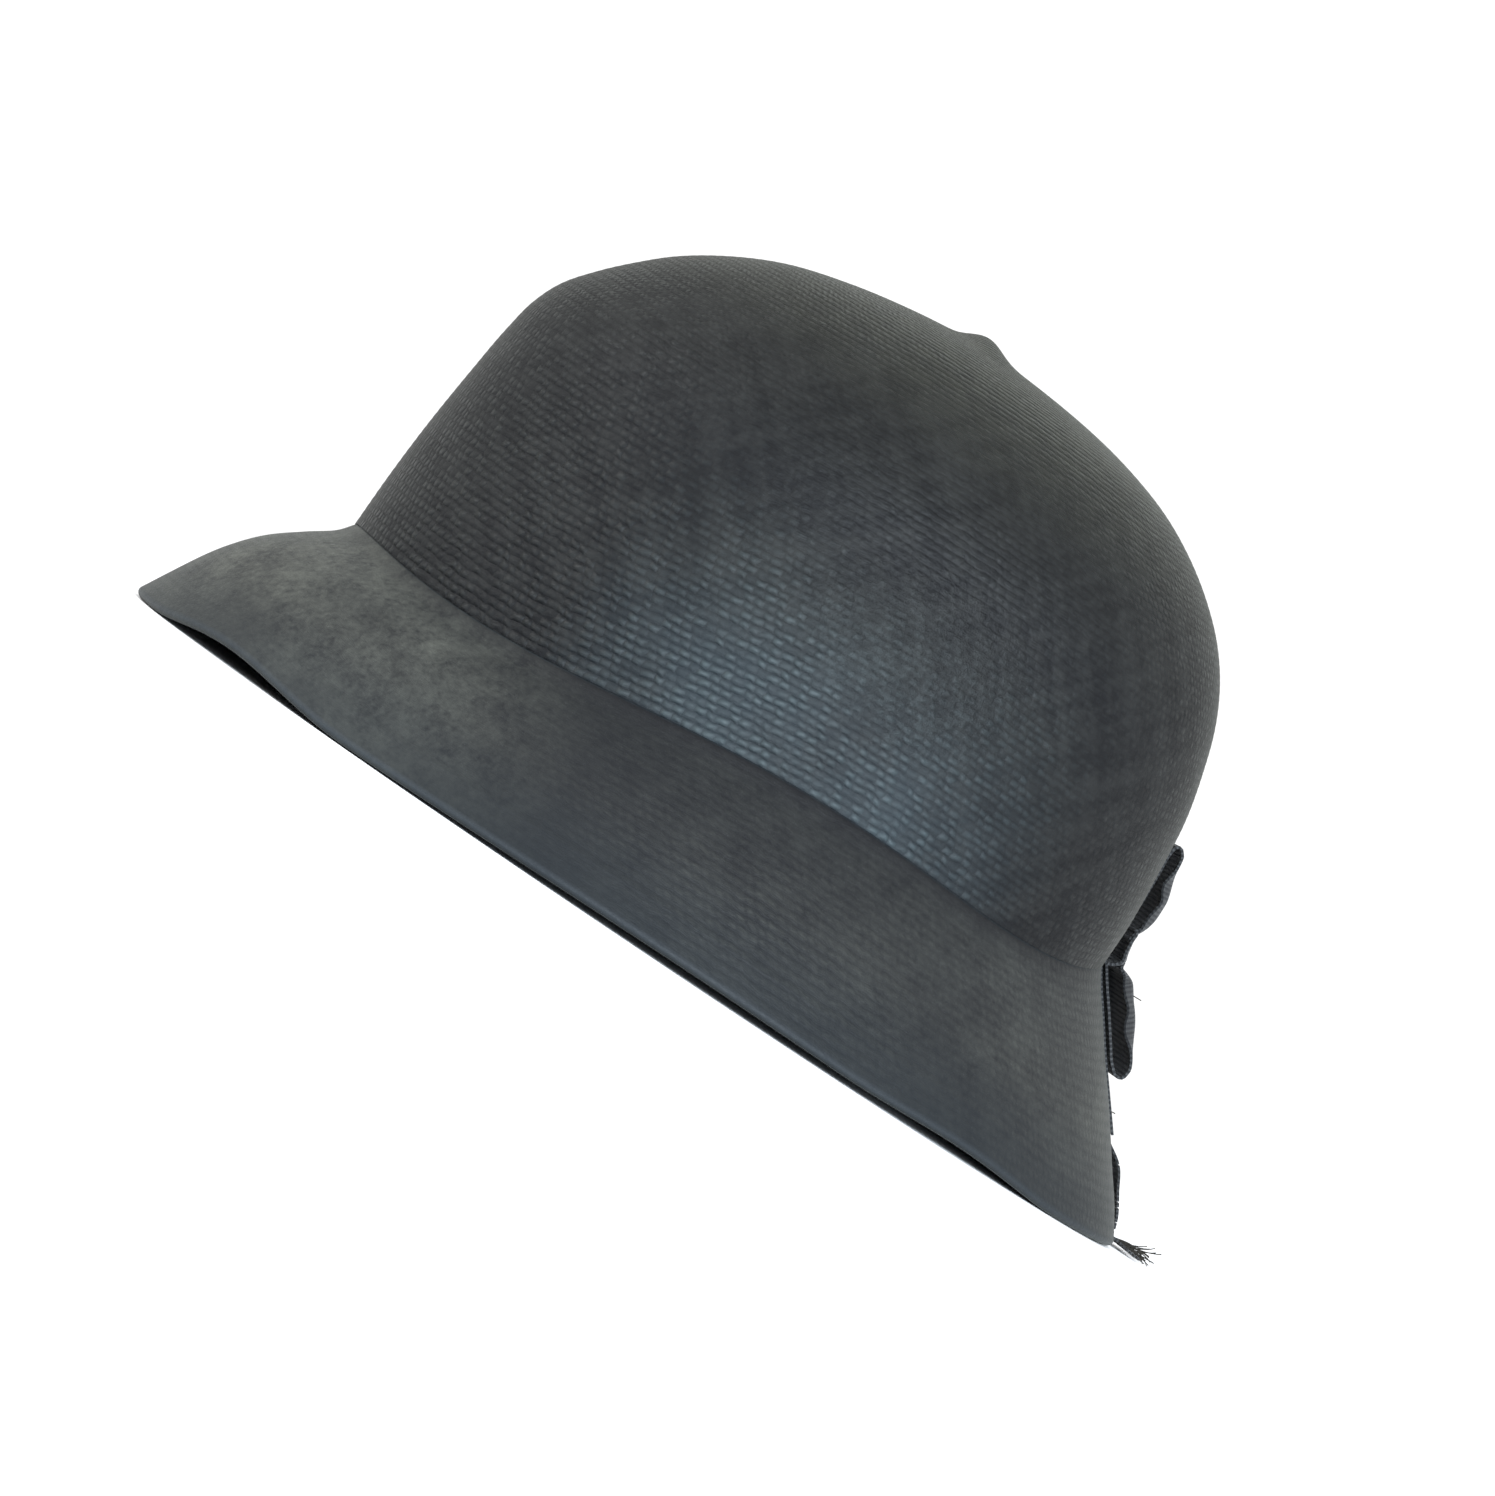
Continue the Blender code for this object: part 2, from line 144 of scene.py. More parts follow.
def press(piece, depths):
    """Moves each point square to the surface, outwards by its own depth."""
    normals = np.empty(len(piece.data.vertices) * 3)
    piece.data.vertex_normals.foreach_get("vector", normals)
    shape_to(piece, points_of(piece) + normals.reshape(-1, 3) * depths[:, None])


def plait(rows):
    """Depth of the furrows between straw rows, from 0 on a row's crest to 1 in the furrow."""
    return 1 - np.abs(np.sin(rows * math.pi)) ** 0.8


class Shade:
    """A number that varies over a piece; sums on it add the Math nodes of its finish."""

    def __init__(self, finish, socket):
        self.finish = finish
        self.socket = socket

    def maths(self, operation, *others):
        return self.finish.node("Math", {"operation": operation}, dict(enumerate((self, *others))))

    def __add__(self, other):
        return self.maths("ADD", other)

    __radd__ = __add__

    def __mul__(self, other):
        return self.maths("MULTIPLY", other)

    __rmul__ = __mul__

    def __sub__(self, other):
        return self.maths("SUBTRACT", other)

    def __rsub__(self, other):
        return self * -1 + other

    def __pow__(self, other):
        return self.maths("POWER", other)


class Finish:
    """One finish: a Principled material and the nodes that vary it."""

    def __init__(self, name, even):
        self.material = bpy.data.materials.new(name)
        self.material.use_nodes = True
        self.tree = self.material.node_tree
        self.shader = self.tree.nodes["Principled BSDF"]
        for socket, value in even.items():
            self.shader.inputs[socket].default_value = value

    def put(self, socket, value):
        if isinstance(value, Shade):
            self.tree.links.new(value.socket, socket)
        else:
            socket.default_value = value

    def node(self, kind, settings, inputs, output=0):
        made = self.tree.nodes.new("ShaderNode" + kind)
        for name, value in settings.items():
            setattr(made, name, value)
        for name, value in inputs.items():
            self.put(made.inputs[name], value)
        return Shade(self, made.outputs[output])

    def mixed(self, share, one, other):
        """Colour between two, given with or without a fourth number."""
        inputs = {0: share, 6: one, 7: other}
        inputs = {key: (*value, 1) if isinstance(value, tuple) and len(value) == 3 else value
                  for key, value in inputs.items()}
        return self.node("Mix", {"data_type": "RGBA"}, inputs, output=2)

    def cloudy(self, scale, detail=2.0, roughness=0.5):
        """Soft patches on the object's own coordinates, 0 to 1."""
        place = self.node("TexCoord", {}, {}, output="Object")
        return self.node("TexNoise", {}, {"Vector": place, "Scale": scale, "Detail": detail, "Roughness": roughness})

    def wear(self, **inputs):
        for name, value in inputs.items():
            self.put(self.shader.inputs[name.replace("_", " ")], value)
        return self.material


def straw_rows(finish, rows_per_map, knots, knots_gained, narrowing):
    """The plaited rows: how far up its crest each place is, its knot, and the knot's own number from 0 to 1."""
    mapped = finish.node("UVMap", {}, {})
    turn = finish.node("SeparateXYZ", {}, {0: mapped}, output="X")
    way = finish.node("SeparateXYZ", {}, {0: mapped}, output="Y")
    waver = finish.cloudy(260.0, 1.0) - 0.5
    rows = (way - 0.5) * rows_per_map + waver * 0.55
    row = rows.maths("FLOOR")
    crest = ((rows - row) * math.pi).maths("SINE")
    share = rows.maths("ABSOLUTE") * (2 / rows_per_map)
    bend = ((share - narrowing).maths("MAXIMUM", 0.0) * (math.pi / 2 / max(1 - narrowing, 0.001))).maths("COSINE")
    count = (bend * (share * knots_gained + knots)).maths("CEIL")
    jog = finish.node("TexWhiteNoise", {"noise_dimensions": "1D"}, {"W": row})
    place = turn * count + row * 0.36 + jog * 0.16 + waver * 0.9
    number = place.maths("FLOOR")
    knot = ((place - number) * math.pi).maths("SINE")
    cell = finish.node("CombineXYZ", {}, {"X": number, "Y": row})
    own = finish.node("TexWhiteNoise", {"noise_dimensions": "2D"}, {"Vector": cell})
    stretched = finish.node("CombineXYZ", {}, {"X": place * 1.3, "Y": rows * 7.0})
    fibre = finish.node("TexNoise", {"noise_dimensions": "2D"}, {"Vector": stretched, "Scale": 1.0, "Detail": 2.0})
    return crest, knot, own, fibre


def places(finish):
    """The place of each point of a piece: aside, along the hat and up, in metres."""
    place = finish.node("TexCoord", {}, {}, output="Object")
    return [finish.node("SeparateXYZ", {}, {0: place}, output=axis) for axis in "XYZ"]


def strokes(finish, slope):
    """Faint long streaks that run across the rows, uphill to the back or to the front."""
    aside, along, high = places(finish)
    line = finish.node("CombineXYZ", {}, {
        "X": aside * 25.0, "Y": (along + high * slope) * 190.0, "Z": (high - along * slope) * 14.0})
    return finish.node("TexNoise", {}, {"Vector": line, "Scale": 1.0, "Detail": 2.0})


def held(shade):
    """The shade kept from 0 to 1."""
    return shade.maths("MAXIMUM", 0.0).maths("MINIMUM", 1.0)


def past(shade, start, steepness):
    """0 up to the start, then rising to 1."""
    return held((shade - start) * steepness)


def short_of(shade, end, steepness):
    """1 well short of the end, falling to 0 there."""
    return held((end - shade) * steepness)


def rubbed_smooth(along, high):
    """How far handling has smoothed the rows on the crown's sides, more than 1 in the middle, under 0 outside."""
    along = along - RUBBED_ALONG
    high = high - RUBBED_HIGH
    return 1.3 - along * along * RUBBED_STEEPNESS[0] - high * high * RUBBED_STEEPNESS[1]


crown_straw = Finish("crown_straw", {
    "Specular IOR Level": 0.11, "Sheen Weight": 0.038, "Sheen Roughness": 0.35, "Sheen Tint": (0.95, 1.0, 0.84, 1),
})
crest, knot, own, fibre = straw_rows(crown_straw, 2 * CROWN_ROWS, KNOTS_ROUND, 0, 0.36)
patches = crown_straw.cloudy(24.0, 3.0, 0.6)
regions = crown_straw.cloudy(13.0, 1.0)
tint = crown_straw.cloudy(9.0, 2.0)
streak = (strokes(crown_straw, 0.8) + strokes(crown_straw, -1.1)) * 0.5 - 0.5
mottle = held((crown_straw.cloudy(210.0, 3.0, 0.6) - 0.5) * 3.0 + 0.5)
grain = crown_straw.cloudy(520.0, 3.0, 0.7)
along, high = places(crown_straw)[1:]

# Where the rows stand crisp, the parts that have worn or faded apart from the rest, and a low band round the sides
# that carries a painted highlight
lower = short_of(high, 0.098, 24.0)
top = past(high, 0.100, 24.0)
tip = past(high, 0.122, 34.0) * held(mottle * 0.6 + 0.4)
# Low band round both sides of the crown, where the colour carries a painted highlight
painted_highlight_band = lower * past(along, -0.070, 26.0) * short_of(along, 0.056, 20.0)
rubbed = held(rubbed_smooth(along, high) + streak * 1.5)
crisp = held(lower * 0.45 + regions * 2.0 - 0.72) * held((0.078 - along) * 18.0 + 0.12) * (1 - rubbed * 0.62)

# The black dye has greyed and turns olive at the tip. Low on the sides a pale blue painted highlight is laid into
# the colour, and the knots there carry the palest painted highlights
row_light = crest ** 2 * (knot * own + 0.25) * (crisp * 0.8 + top * 0.5 + 0.1) + 0.18 - crisp * 0.18
dye = crown_straw.mixed(
    held(row_light + streak * 2.6 + mottle * 0.3 + (grain - 0.5) * 1.7),
    (0.0032, 0.0034, 0.0040), (0.0104, 0.0108, 0.0108))
dye = crown_straw.mixed(top * 0.3, dye, (0.0120, 0.0121, 0.0096))
dye = crown_straw.mixed(tip * 0.6, dye, (0.0230, 0.0232, 0.0165))
# Colour of the painted highlight on the sides: blue low down, greyer higher up
side_highlight_tone = crown_straw.mixed(past(high, 0.060, 36.0), (0.026, 0.036, 0.043), (0.031, 0.035, 0.032))
dye = crown_straw.mixed(painted_highlight_band * held(patches * 2.6 - 0.6) * 0.44, dye, side_highlight_tone)
# The knots' crests carry painted highlights in this tone, mostly in the low side band, and flecks of it lie where
# that side is rubbed smooth
knot_highlight_tone = crown_straw.mixed(tint, (0.038, 0.056, 0.066), (0.045, 0.054, 0.052))
knot_highlights = crest ** 1.6 * (knot * 0.65 + 0.35) * (own * 0.8 + 0.15) * held(patches * 1.6 - 0.15)
knot_highlights = knot_highlights * (painted_highlight_band * 0.95 + 0.05) * (1 - rubbed * 0.45)
rubbed_highlight_flecks = rubbed * painted_highlight_band * held((grain - 0.5) * 6.0 + streak * 3.0) * 0.22

relief = crest ** 0.8 * (knot * (own * 0.8 + 0.15) + 0.28) * (crisp * 0.85 + top * 0.25 + 0.15)
relief = relief + fibre * 0.22 + grain * (rubbed * 1.3 + 0.5)
crown_straw.wear(
    Base_Color=crown_straw.mixed(knot_highlights + rubbed_highlight_flecks, dye, knot_highlight_tone),
    Roughness=0.56 - crest * knot * own * 0.12 + (fibre - 0.5) * 0.16,
    Normal=crown_straw.node("Bump", {}, {"Strength": 1.0, "Distance": 0.00040, "Height": relief}),
)

bpy.ops.object.select_all(action="DESELECT")
bpy.ops.mesh.primitive_uv_sphere_add(segments=CROWN_SIDES, ring_count=2 * STEPS_PER_ROW * CROWN_ROWS, radius=1)
crown = bpy.context.object
crown.name = "straw_crown"
ball = points_of(crown)
crown_turn = math.pi - np.arctan2(ball[:, 1], ball[:, 0])
crown_way = np.arcsin(np.clip(ball[:, 2], -1, 1)) / (math.pi / 2)
lifted = np.abs(crown_way) * (1 - FIRST_STEP) + FIRST_STEP
shape_to(crown, over_block(crown_turn, np.clip(lifted, 0, 1)))
near_tip = np.clip((1 - np.abs(crown_way)) * CROWN_ROWS / 2, 0, 1)
near_foot = np.clip(np.abs(crown_way) * CROWN_ROWS * 2, 0, 1)
inner = np.where(crown_way < -1e-6, STRAW_THICKNESS, 0.0)
blocked = points_of(crown)
flatter = (1 - 0.7 * np.abs(crown_way)) * (1 - 0.6 * np.clip(rubbed_smooth(blocked[:, 1], blocked[:, 2]), 0, 1))
press(crown, inner - plait(crown_way * CROWN_ROWS) * ROW_DEPTH * flatter * near_tip * near_foot)
alone(crown)
bpy.ops.object.shade_smooth_by_angle(angle=math.radians(60))
crown.data.materials.append(crown_straw.material)
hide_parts("crown")
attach(crown, "root")


# Brim
# The brim is blocked straw like the crown, sewn in under it by a short collar. It drops and flares like a bell.
# Its edge is rolled under, and the turned-in straw is held as a narrow hem.
RIM_HALF_WIDTH = 0.1128
RIM_HALF_LENGTH = 0.1335
RIM_SHIFT = 0.0027
EDGE_THICKNESS = 0.0026
HEM_HEIGHT = 0.0068
COLLAR_HEIGHT = 0.0070
COLLAR_INSET = 0.0018
BRIM_SIDES = 176
OUTSIDE_STEPS = 110
ROLL_STEPS = 8
HEM_STEPS = 12
LEDGE_STEPS = 2
INSIDE_STEPS = 98
COLLAR_STEPS = 10
STEPS_IN_ROW = 5
KNOTS_GAINED = 80
BRIM_STEPS = OUTSIDE_STEPS + ROLL_STEPS + HEM_STEPS + LEDGE_STEPS + INSIDE_STEPS + COLLAR_STEPS

# Share of the drop, and shares of the flare in front, at the side and behind
BELL = np.array([
    (0.00, 0.000, 0.000, 0.000),
    (0.07, 0.070, 0.072, 0.062),
    (0.18, 0.252, 0.225, 0.178),
    (0.32, 0.470, 0.405, 0.325),
    (0.50, 0.665, 0.598, 0.525),
    (0.68, 0.808, 0.762, 0.715),
    (0.84, 0.912, 0.890, 0.880),
    (1.00, 1.000, 1.000, 1.000),
])

# Lift of the rim off the surface, the middle of the lifted stretch and its reach each way in degrees
ARCHES = ((0.0016, 90, 50), (0.0016, 270, 50), (0.0030, 152, 20), (0.0014, 58, 18))


def rim_lift(turn):
    lift = np.zeros_like(turn)
    for height, middle, reach in ARCHES:
        away = np.clip(np.abs(np.degrees(turn) - middle) / reach, 0, 1)
        lift += height * (1 + np.cos(away * math.pi)) / 2
    return lift


def bell(turn, way):
    """Points on the brim's outside, by the angle from the back and the share of the way down."""
    drop, front, side, back = flowing(BELL, ways(BELL[:, 2] * 0.030, BELL[:, 0] * CREASE_HEIGHT), way)
    end = np.where(np.cos(turn) > 0, back, front)
    flare = side + (end - side) * np.cos(turn) ** 2
    start = np.stack((CROWN_HALF_WIDTH * np.sin(turn), CROWN_HALF_LENGTH * np.cos(turn)))
    rim = np.stack((RIM_HALF_WIDTH * np.sin(turn), RIM_SHIFT + RIM_HALF_LENGTH * np.cos(turn)))
    x, y = start + (rim - start) * flare
    z = crease(turn) + (rim_lift(turn) - crease(turn)) * drop
    return np.stack((x, y + HEAD_MIDDLE, z), axis=1)


def bell_section(turn):
    """Points round the brim's wall at one angle: down the outside, round the roll, up the hem, inside and collar."""
    many = np.full(OUTSIDE_STEPS + 1, turn)
    face = bell(many, np.linspace(0, 1, OUTSIDE_STEPS + 1))
    rim = face[-1]
    outwards = (rim - face[0]) * (1, 1, 0)
    outwards /= np.linalg.norm(outwards)
    up = np.array((0, 0, 1.0))
    down = np.gradient(face, axis=0)
    down /= np.linalg.norm(down, axis=1)[:, None]
    square = np.outer(-down[:, 2], outwards) + np.outer(down @ outwards, up)

    # The outside ends where it touches the roll
    radius = EDGE_THICKNESS / 2
    middle = rim + up * radius - outwards * radius
    touch = middle + square[-1] * radius
    reach = np.linalg.norm(rim - touch)
    keep = 1 - reach / np.linalg.norm(np.diff(face, axis=0), axis=1).sum()
    face = bell(many, np.linspace(0, keep, OUTSIDE_STEPS + 1))
    near = np.clip(np.linspace(-3, 1, OUTSIDE_STEPS + 1), 0, 1)[:, None] ** 2
    face += (touch - face[-1]) * near

    # The roll, and the hem that it turns in
    swing = math.pi * np.arange(1, ROLL_STEPS + 1) / ROLL_STEPS
    along = -(outwards * (square[-1] @ up) - up * (square[-1] @ outwards))
    roll = middle + radius * (np.outer(np.cos(swing), square[-1]) - np.outer(np.sin(swing), along))
    hem_way = keep * (1 - HEM_HEIGHT / np.linalg.norm(face[-1] - face[0]))
    hem_ways = np.linspace(keep, hem_way, HEM_STEPS + 1)[1:]
    index = (hem_ways / keep * OUTSIDE_STEPS).round().astype(int)
    hem = face[index] - square[index] * EDGE_THICKNESS

    # The inside follows the outside one wall in, up to the collar
    fine = np.linspace(index[-1] - 1, 2, LEDGE_STEPS + INSIDE_STEPS)
    low = np.floor(fine).astype(int)
    high = np.minimum(low + 1, OUTSIDE_STEPS)
    part = (fine - low)[:, None]
    outer = face[low] * (1 - part) + face[high] * part
    facing = square[low] * (1 - part) + square[high] * part
    inside = outer - facing * STRAW_THICKNESS
    thick = outwards * STRAW_THICKNESS
    foot = face[0] - outwards * COLLAR_INSET
    rises = (0.0, 0.25, 0.5, 0.75, 1.0)
    collar_in = [foot - thick + up * COLLAR_HEIGHT * share for share in rises]
    collar_out = [foot + up * COLLAR_HEIGHT * share for share in reversed(rises)]
    return np.concatenate((face, roll, hem, inside, collar_in, collar_out))[:BRIM_STEPS]


brim_straw = Finish("brim_straw", {
    "Specular IOR Level": 0.13, "Sheen Weight": 0.04, "Sheen Roughness": 0.4, "Sheen Tint": (0.95, 1.0, 0.88, 1),
})
crest, knot, own, fibre = straw_rows(brim_straw, BRIM_STEPS / STEPS_IN_ROW, KNOTS_ROUND, KNOTS_GAINED, 1.0)
patches = brim_straw.cloudy(30.0, 3.0, 0.6)
regions = brim_straw.cloudy(14.0, 1.0)
tint = brim_straw.cloudy(11.0, 2.0)
streak = (strokes(brim_straw, 0.8) + strokes(brim_straw, -1.1)) * 0.5 - 0.5
mottle = held((brim_straw.cloudy(110.0, 4.0, 0.65) - 0.5) * 3.2 + 0.5)
grain = brim_straw.cloudy(560.0, 3.0, 0.7)
along = places(brim_straw)[1]

# Steps down the outside from the crease, read from the piece's own map
mapped = brim_straw.node("SeparateXYZ", {}, {0: brim_straw.node("UVMap", {}, {})}, output="Y")
step_down = (mapped - 0.5 + mapped.maths("LESS_THAN", 0.5)) * BRIM_STEPS


def ring(middle, steepness):
    """1 on a line round the brim this many steps down, falling to 0 on both sides of it."""
    return held(1 - (step_down - middle).maths("ABSOLUTE") * steepness)


# The brim is ironed smooth in front; its rows show behind, and a line of stitches shows where the hem ends
smooth_front = short_of(along, 0.02, 11.0)
row_depth = (1 - smooth_front * 0.78) * held(regions - 0.18) * 0.6
relief = (crest ** 0.8 * (knot * (own * 0.4 + 0.1) + 0.4)) * row_depth
relief = relief + fibre * 0.2 + grain * 0.5 + ring(OUTSIDE_STEPS - 16, 0.3) * 0.35

# Painted light makes it paler in front and in a band under the crease in front; it is worn paler in patches behind
lit_front = short_of(along, -0.052, 18.0)
# A band under the crease in front, paler as painted light from above
front_band_highlight = ring(26, 1 / 24) * short_of(along, -0.068, 36.0) * past(along, -0.122, 34.0) * 0.8
worn_back = past(along, 0.005, 16.0) * held(patches * 2.4 - 0.6) * (1 - past(step_down, 70, 1 / 36)) * 0.34
# One mask for the pale knot crests, the painted light in front and the worn patches behind
painted_light_and_wear = (lit_front + front_band_highlight + worn_back) * (0.3 + mottle * 0.5 + (grain - 0.5) * 1.5)
painted_light_and_wear = held((crest ** 2 * knot * (own * 0.6 + 0.1) * row_depth + painted_light_and_wear) * (patches * 1.8 - 0.25))

dye = brim_straw.mixed(
    held(crest ** 2 * row_depth + 0.2 - row_depth * 0.2 + streak * 1.4 + mottle * 0.4 + (grain - 0.5) * 1.4),
    (0.0062, 0.0066, 0.0075), (0.0148, 0.0156, 0.0154))
# Painted shade: the brim darker across its sides a little forward of the middle
quarter_shade = held(1 - (along + 0.052).maths("ABSOLUTE") * 26.0) * 0.50
dye = brim_straw.mixed(quarter_shade, dye, (0.0062, 0.0068, 0.0080))
# Tone of that painted light and wear
light_and_wear_tone = brim_straw.mixed(tint, (0.044, 0.052, 0.050), (0.068, 0.066, 0.053))
colour = brim_straw.mixed(painted_light_and_wear, dye, light_and_wear_tone)
colour = brim_straw.mixed(past(step_down, 62, 1 / 50) * 0.6, colour, (0.008, 0.0105, 0.0125))
# Painted shadow: the brim darkened just below the crease, less in front
crease_shadow = held(1 - step_down * (1 / 14)) ** 2 * (0.75 - lit_front * 0.6)
colour = brim_straw.mixed(crease_shadow, colour, (0.003, 0.003, 0.004))
# Painted highlight: a pale blue line along the rolled edge, brighter in front
rolled_edge_highlight = ring(OUTSIDE_STEPS + 1.5, 0.4) * (lit_front * 0.2 + 0.3)
brim_straw.wear(
    Base_Color=brim_straw.mixed(rolled_edge_highlight, colour, (0.030, 0.036, 0.042)),
    Roughness=0.62 - crest * knot * 0.08 + (fibre - 0.5) * 0.15,
    Normal=brim_straw.node("Bump", {}, {"Strength": 1.0, "Distance": 0.00034, "Height": relief}),
)

bpy.ops.object.select_all(action="DESELECT")
bpy.ops.mesh.primitive_torus_add(
    major_segments=BRIM_SIDES, minor_segments=BRIM_STEPS, major_radius=1, minor_radius=0.2)
brim = bpy.context.object
brim.name = "straw_brim"
brim_turns = (math.pi - 2 * math.pi * np.arange(BRIM_SIDES) / BRIM_SIDES) % (2 * math.pi)
shape_to(brim, np.concatenate([bell_section(turn) for turn in brim_turns]))
alone(brim)
bpy.ops.object.mode_set(mode="EDIT")
bpy.ops.mesh.select_all(action="SELECT")
bpy.ops.mesh.normals_make_consistent(inside=False)
bpy.ops.object.mode_set(mode="OBJECT")
step = np.tile(np.arange(BRIM_STEPS), BRIM_SIDES)
to_front = -np.cos(np.repeat(brim_turns, BRIM_STEPS))
ironed = 1 - 0.9 * np.clip((to_front - 0.1) * 1.4, 0, 1)
weak = np.where(step <= OUTSIDE_STEPS, 0.6, 0.4) * ironed
off_roll = np.clip((OUTSIDE_STEPS - step) / 4, 0, 1) + (step > OUTSIDE_STEPS + ROLL_STEPS)
off_collar = step < BRIM_STEPS - COLLAR_STEPS
press(brim, -plait(step / STEPS_IN_ROW) * ROW_DEPTH * weak * off_roll * off_collar)
bpy.ops.object.shade_smooth_by_angle(angle=math.radians(60))
brim.data.materials.append(brim_straw.material)
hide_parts("brim")
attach(brim, "root")


# Bow
# One length of worn black corded ribbon, tied flat at the middle of the back: a loop up the crown, a loop and two
# tails down the brim, pinched together under one wrap and sewn through the crease. Its long tail is worn to threads.
RIBBON_WIDTH = 0.0300
RIBBON_PINCH = 0.0220
RIBBON_THICKNESS = 0.0006
FIRST_LAYER = 0.0008
LAYER_STEP = 0.0013
BOW_MIDDLE = -0.0060
KNOT_HIGH = 0.0106
BACK_FLARE = 0.0374
BACK_SLOPE = math.hypot(BACK_FLARE, crease(0.0))
CROWN_BEND = 0.0694
RIM_BEND = 0.0953


def back_line(along):
    """The hat's back in its middle: up the crown from the crease, or down the brim and out over the floor."""
    up = np.clip(along / (CROWN_TOP - crease(0.0)), 0, 1)
    down = np.clip(-along / BACK_SLOPE, 0, 1)
    crown_share = flowing(BLOCK, BLOCK[:, 0], up)[3]
    flare = flowing(BELL, BELL[:, 0], down)[3]
    y = HEAD_MIDDLE + CROWN_HALF_LENGTH * crown_share + BACK_FLARE * flare + np.maximum(0, -along - BACK_SLOPE)
    return y, np.maximum(along, 0) + crease(0.0) * (1 - down)


def laid(along, aside, lift):
    """Points over the hat's back, square off the straw by lift."""
    y, z = back_line(along)
    (low_y, low_z), (high_y, high_z) = back_line(along - 0.006), back_line(along + 0.006)
    run = np.hypot(low_y - high_y, low_z - high_z)
    outwards, upwards = (high_z - low_z) / run, (low_y - high_y) / run
    bend = CROWN_BEND + (RIM_BEND - CROWN_BEND) * np.clip(-along / BACK_SLOPE, 0, 1)
    x = aside + lift * outwards * aside / bend
    return np.stack((x, y - aside**2 / (2 * bend) + lift * outwards, z + lift * upwards), axis=1)


def ribbon(name, route, strips, steps, folds=lambda share, way: 0.0, slant=0.0):
    """Ribbon laid along a route of rows: along the back, lift, left edge and right edge, all in metres."""
    route = np.array(route)
    way = np.linspace(0, 1, steps + 1)
    along, lift, left, right = flowing(route, ways(route[:, 0], route[:, 1]), way)
    share = np.tile(np.linspace(0, 1, strips + 1), steps + 1)
    along, lift, left, right, way = (np.repeat(values, strips + 1) for values in (along, lift, left, right, way))
    along = along + slant * (share - 0.5) * way
    bpy.ops.object.select_all(action="DESELECT")
    bpy.ops.mesh.primitive_grid_add(x_subdivisions=strips, y_subdivisions=steps, size=1)
    piece = bpy.context.object
    piece.name = name
    shape_to(piece, laid(along, BOW_MIDDLE + left + (right - left) * share, lift + folds(share, way)))
    middle = points_of(piece).reshape(steps + 1, strips + 1, 3)[:, strips // 2]
    length = np.linalg.norm(np.diff(middle, axis=0), axis=1).sum()
    marks = np.empty(len(piece.data.loops) * 2)
    piece.data.uv_layers[0].data.foreach_get("uv", marks)
    piece.data.uv_layers[0].data.foreach_set("uv", (marks.reshape(-1, 2) * (30.0, length * 1000)).ravel())
    return piece, length


def finished_ribbon(piece, node):
    alone(piece)
    thick = piece.modifiers.new("thickness", "SOLIDIFY")
    thick.thickness = RIBBON_THICKNESS
    thick.offset = 0
    bpy.ops.object.modifier_apply(modifier=thick.name)
    bpy.ops.object.shade_smooth_by_angle(angle=math.radians(50))
    piece.data.materials.append(corded.material)
    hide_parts(node)
    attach(piece, "root")


# The ribbon's map runs in millimetres across it and down it
CORD_PITCH = 1.1
WARP_PITCH = 0.35
corded = Finish("corded_ribbon", {"Specular IOR Level": 0.3, "Sheen Weight": 0.06, "Sheen Roughness": 0.4})
mark = corded.node("UVMap", {}, {})
across = corded.node("SeparateXYZ", {}, {0: mark}, output="X")
down = corded.node("SeparateXYZ", {}, {0: mark}, output="Y")
cord = (down * (2 * math.pi / CORD_PITCH)).maths("SINE") * 0.5 + 0.5
warp = (across * (2 * math.pi / WARP_PITCH)).maths("SINE") * 0.5 + 0.5
stain = corded.cloudy(160.0, 3.0, 0.6)
selvedge = ((across - 15.0).maths("ABSOLUTE") - 13.8).maths("MAXIMUM", 0.0) * 0.8
corded_height = cord ** 0.7 + warp * 0.12 + selvedge
corded_light = cord * (stain * 1.3 - 0.2) + selvedge * 0.1
corded.wear(
    Base_Color=corded.mixed(corded_light, (0.0062, 0.0064, 0.0076), (0.032, 0.034, 0.035)),
    Roughness=0.85 - cord * 0.2,
    Normal=corded.node("Bump", {}, {"Strength": 1.0, "Distance": 0.00022, "Height": corded_height}),
)


def loop_route(first, length, rise, base, column):
    """Out along the straw, round the fold and back over itself."""
    outline = (
        (0.00, 0.00, 0.00), (0.35, 0.00, 0.00), (0.70, 0.00, 0.00), (0.90, 0.02, 0.02), (0.985, 0.12, 0.13),
        (1.00, 0.26, 0.30), (0.96, 0.41, 0.52), (0.80, 0.62, 0.80), (0.60, 0.83, 0.97), (0.40, 0.98, 1.00),
        (0.20, 0.93, 0.98), (0.08, 0.72, 0.78), (0.00, 0.52, 0.60), (-0.08, 0.42, 0.50),
    )
    rows = []
    for share, *rises in outline:
        half = (RIBBON_PINCH + (RIBBON_WIDTH - RIBBON_PINCH) * math.sin(share * math.pi / 2)) / 2
        rows.append((first + length * share, base + rise * rises[column], half, -half))
    return rows


def gathers(size, count, droop):
    """Soft pleats that leave the knot and die away at the fold; the outer layer's edges sag towards the straw."""
    def folds(share, way):
        pleats = size * np.sin(share * count * 2 * math.pi) * np.clip(np.abs(2 * way - 1) * 1.8 - 0.8, 0, 1)
        outer = np.clip(way * 5 - 2.6, 0, 1) * np.clip(4.6 - way * 4.6, 0, 1)
        return pleats - droop * outer * np.abs(2 * share - 1) ** 6 * (1 + 0.3 * np.sin(way * 31 + share * 9))
    return folds


